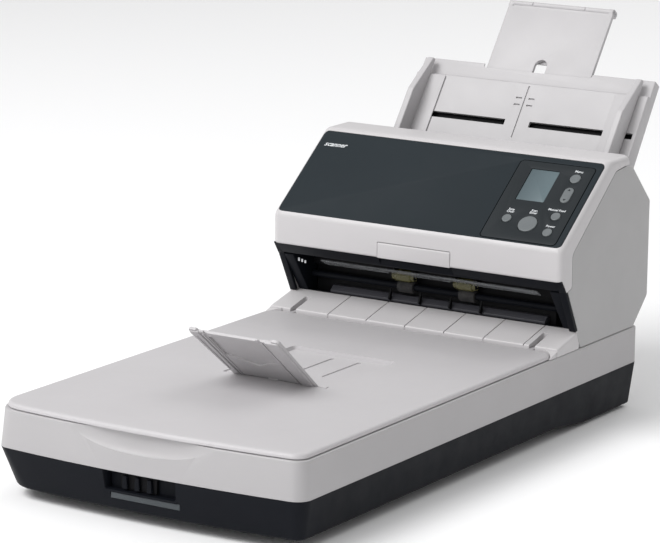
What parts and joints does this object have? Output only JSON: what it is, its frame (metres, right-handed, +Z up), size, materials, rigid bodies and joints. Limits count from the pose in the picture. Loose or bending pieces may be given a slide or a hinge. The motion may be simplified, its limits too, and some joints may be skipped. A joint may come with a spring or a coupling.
{
  "type": "flatbed scanner with sheet feeder",
  "caption": "Flatbed document scanner with a sheet feeder: hinged document cover, folding output stopper, opening feeder top, operator panel and a paper chute with side guides.",
  "frame": {"origin": "under the middle of the whole part's footprint, with the paper chute's extension out, on the desk", "axes": "+X to the right seen from the front, -Y towards the user and the base's front edge, +Z up"},
  "size_m": [0.3, 0.6832, 0.3393],
  "materials": {
    "light_case": "fine moulded texture",
    "dark_case": "fine moulded texture",
    "fascia": "satin",
    "button": "satin",
    "display": "clear window over a grey display",
    "glass": "polished",
    "clear_plastic": "clear film",
    "rubber": "matt",
    "idler": "tinted, translucent",
    "steel": "drawn and ground",
    "inner": "plain moulded",
    "grey_guide": "smooth",
    "foam": "white pad face",
    "board": "lacquered"
  },
  "bodies": {
    "scanner_body": {"base_tray": "dark_case", "upper_case": "light_case", "platen_glass": "glass", "foot_front_left": "rubber", "foot_front_right": "rubber", "foot_rear_left": "rubber", "foot_rear_right": "rubber", "lock_plate": "grey_guide", "power_inlet": "inner", "usb_port": "steel", "carriage_rod": "steel", "carriage_belt": "rubber", "carriage_motor": "steel", "main_board": "board", "exit_deck": "light_case", "side_cover_left": "light_case", "side_cover_right": "light_case", "rear_cover": "light_case", "exit_frame": "dark_case", "exit_guide": "grey_guide", "lower_feed_unit": "inner", "lower_sensor_glass": "glass", "feed_motor": "steel", "feed_belt": "rubber", "pick_belt": "rubber", "paper_chute": "light_case"},
    "document_cover": {"document_cover": "light_case", "cover_pad": "foam"},
    "output_stopper": {"output_stopper": "light_case"},
    "feeder_top": {"front_cover": "light_case", "fascia_panel": "fascia", "operator_panel": "fascia", "display_window": "display", "upper_guide": "dark_case", "upper_sensor_glass": "glass", "clear_guide": "clear_plastic"},
    "release_tab": {"release_tab": "light_case"},
    "button_menu": {"button_menu": "button"},
    "button_scroll": {"button_scroll": "button"},
    "button_stop": {"button_stop": "button"},
    "button_scan": {"button_scan": "button"},
    "button_manual": {"button_manual": "button"},
    "button_power": {"button_power": "button"},
    "eject_idler_left": {"eject_idler_left": "idler"},
    "eject_idler_right": {"eject_idler_right": "idler"},
    "brake_roller": {"brake_roller": "rubber"},
    "eject_roller": {"eject_roller": "rubber"},
    "feed_roller": {"feed_roller": "rubber"},
    "pick_roller": {"pick_roller": "rubber"},
    "motor_pulley": {"motor_pulley": "steel"},
    "guide_left": {"side_guide_left": "light_case"},
    "guide_right": {"side_guide_right": "light_case"},
    "guide_pinion": {"guide_pinion": "grey_guide"},
    "chute_extension": {"chute_extension": "light_case"},
    "extension_flap": {"extension_flap": "light_case"},
    "transport_lock": {"transport_lock": "inner"},
    "scan_carriage": {"scan_carriage": "inner"},
    "carriage_pulley": {"carriage_pulley": "steel"},
    "rear_pulley": {"rear_pulley": "steel"}
  },
  "joints": [
    {"name": "cover_hinge", "type": "hinge", "parent": "scanner_body", "child": "document_cover", "pos_m": [0, 0.0889, 0.0795], "axis": [-1, 0, 0], "range_deg": [0, 70]},
    {"name": "stopper_hinge", "type": "hinge", "parent": "document_cover", "child": "output_stopper", "pos_m": [0, -0.1446, 0.0786], "axis": [-1, 0, 0], "range_deg": [0, 141]},
    {"name": "top_hinge", "type": "hinge", "parent": "scanner_body", "child": "feeder_top", "pos_m": [0, 0.1949, 0.225], "axis": [-1, 0, 0], "range_deg": [0, 58]},
    {"name": "release_hinge", "type": "hinge", "parent": "feeder_top", "child": "release_tab", "pos_m": [0, 0.0738, 0.1525], "axis": [-1, 0, 0], "range_deg": [0, 24], "stiffness_Nm_per_rad": 0.02, "springref_deg": -8.59},
    {"name": "menu_press", "type": "slide", "parent": "feeder_top", "child": "button_menu", "axis": [0, 0.6038, -0.7971], "range_m": [0, 0.0006], "stiffness_N_per_m": 400, "springref_m": -0.001},
    {"name": "scroll_rock", "type": "hinge", "parent": "feeder_top", "child": "button_scroll", "pos_m": [0.1256, 0.12414, 0.20519], "axis": [1, 0, 0], "range_deg": [-3, 3], "stiffness_Nm_per_rad": 0.02},
    {"name": "stop_press", "type": "slide", "parent": "feeder_top", "child": "button_stop", "axis": [0, 0.6038, -0.7971], "range_m": [0, 0.0006], "stiffness_N_per_m": 400, "springref_m": -0.001},
    {"name": "scan_press", "type": "slide", "parent": "feeder_top", "child": "button_scan", "axis": [0, 0.6038, -0.7971], "range_m": [0, 0.0006], "stiffness_N_per_m": 400, "springref_m": -0.001},
    {"name": "manual_press", "type": "slide", "parent": "feeder_top", "child": "button_manual", "axis": [0, 0.6038, -0.7971], "range_m": [0, 0.0006], "stiffness_N_per_m": 400, "springref_m": -0.001},
    {"name": "power_press", "type": "slide", "parent": "feeder_top", "child": "button_power", "axis": [0, 0.6038, -0.7971], "range_m": [0, 0.0006], "stiffness_N_per_m": 400, "springref_m": -0.001},
    {"name": "idler_left_spin", "type": "hinge", "parent": "feeder_top", "child": "eject_idler_left", "pos_m": [-0.032, 0.11155, 0.1169], "axis": [1, 0, 0], "continuous": true},
    {"name": "idler_right_spin", "type": "hinge", "parent": "feeder_top", "child": "eject_idler_right", "pos_m": [0.032, 0.11155, 0.1169], "axis": [1, 0, 0], "continuous": true},
    {"name": "brake_spin", "type": "hinge", "parent": "feeder_top", "child": "brake_roller", "pos_m": [0, 0.1923, 0.1718], "axis": [1, 0, 0], "continuous": true},
    {"name": "pick_spin", "type": "hinge", "parent": "scanner_body", "child": "pick_roller", "pos_m": [0, 0.2078, 0.1604], "axis": [1, 0, 0], "continuous": true},
    {"name": "feed_spin", "type": "hinge", "parent": "scanner_body", "child": "feed_roller", "pos_m": [0, 0.1629, 0.1245], "axis": [1, 0, 0], "continuous": true},
    {"name": "eject_spin", "type": "hinge", "parent": "scanner_body", "child": "eject_roller", "pos_m": [0, 0.1165, 0.1062], "axis": [1, 0, 0], "continuous": true},
    {"name": "motor_spin", "type": "hinge", "parent": "scanner_body", "child": "motor_pulley", "pos_m": [0, 0.1829, 0.098], "axis": [1, 0, 0], "continuous": true},
    {"name": "guide_left_slide", "type": "slide", "parent": "scanner_body", "child": "guide_left", "axis": [1, 0, 0], "range_m": [0, 0.08]},
    {"name": "guide_right_slide", "type": "slide", "parent": "scanner_body", "child": "guide_right", "axis": [-1, 0, 0], "range_m": [0, 0.08]},
    {"name": "guide_pinion_spin", "type": "hinge", "parent": "scanner_body", "child": "guide_pinion", "pos_m": [0, 0.25727, 0.23617], "axis": [0, 0.8046, -0.5938], "range_deg": [0, 574]},
    {"name": "extension_slide", "type": "slide", "parent": "scanner_body", "child": "chute_extension", "axis": [0, 0.5938, 0.8046], "range_m": [-0.062, 0]},
    {"name": "flap_hinge", "type": "hinge", "parent": "chute_extension", "child": "extension_flap", "pos_m": [0, 0.33875, 0.33326], "axis": [1, 0, 0], "range_deg": [0, 175]},
    {"name": "lock_slide", "type": "slide", "parent": "scanner_body", "child": "transport_lock", "axis": [1, 0, 0], "range_m": [0, 0.018]},
    {"name": "carriage_slide", "type": "slide", "parent": "scanner_body", "child": "scan_carriage", "axis": [0, 1, 0], "range_m": [0, 0.295]},
    {"name": "carriage_pulley_spin", "type": "hinge", "parent": "scanner_body", "child": "carriage_pulley", "pos_m": [-0.085, -0.2841, 0.042], "axis": [0, 0, 1], "range_deg": [0, 2416]},
    {"name": "rear_pulley_spin", "type": "hinge", "parent": "scanner_body", "child": "rear_pulley", "pos_m": [-0.085, 0.0479, 0.042], "axis": [0, 0, 1], "range_deg": [0, 2416]}
  ],
  "couplings": [
    {"joint": "feed_spin", "follows": "pick_spin", "ratio": 1.0714},
    {"joint": "eject_spin", "follows": "pick_spin", "ratio": 1.3393},
    {"joint": "motor_spin", "follows": "pick_spin", "ratio": 1.6071},
    {"joint": "guide_right_slide", "follows": "guide_left_slide", "ratio": 1},
    {"joint": "guide_pinion_spin", "follows": "guide_left_slide", "rad_per_m": 125},
    {"joint": "carriage_pulley_spin", "follows": "carriage_slide", "rad_per_m": 142.86},
    {"joint": "rear_pulley_spin", "follows": "carriage_slide", "rad_per_m": 142.86}
  ]
}
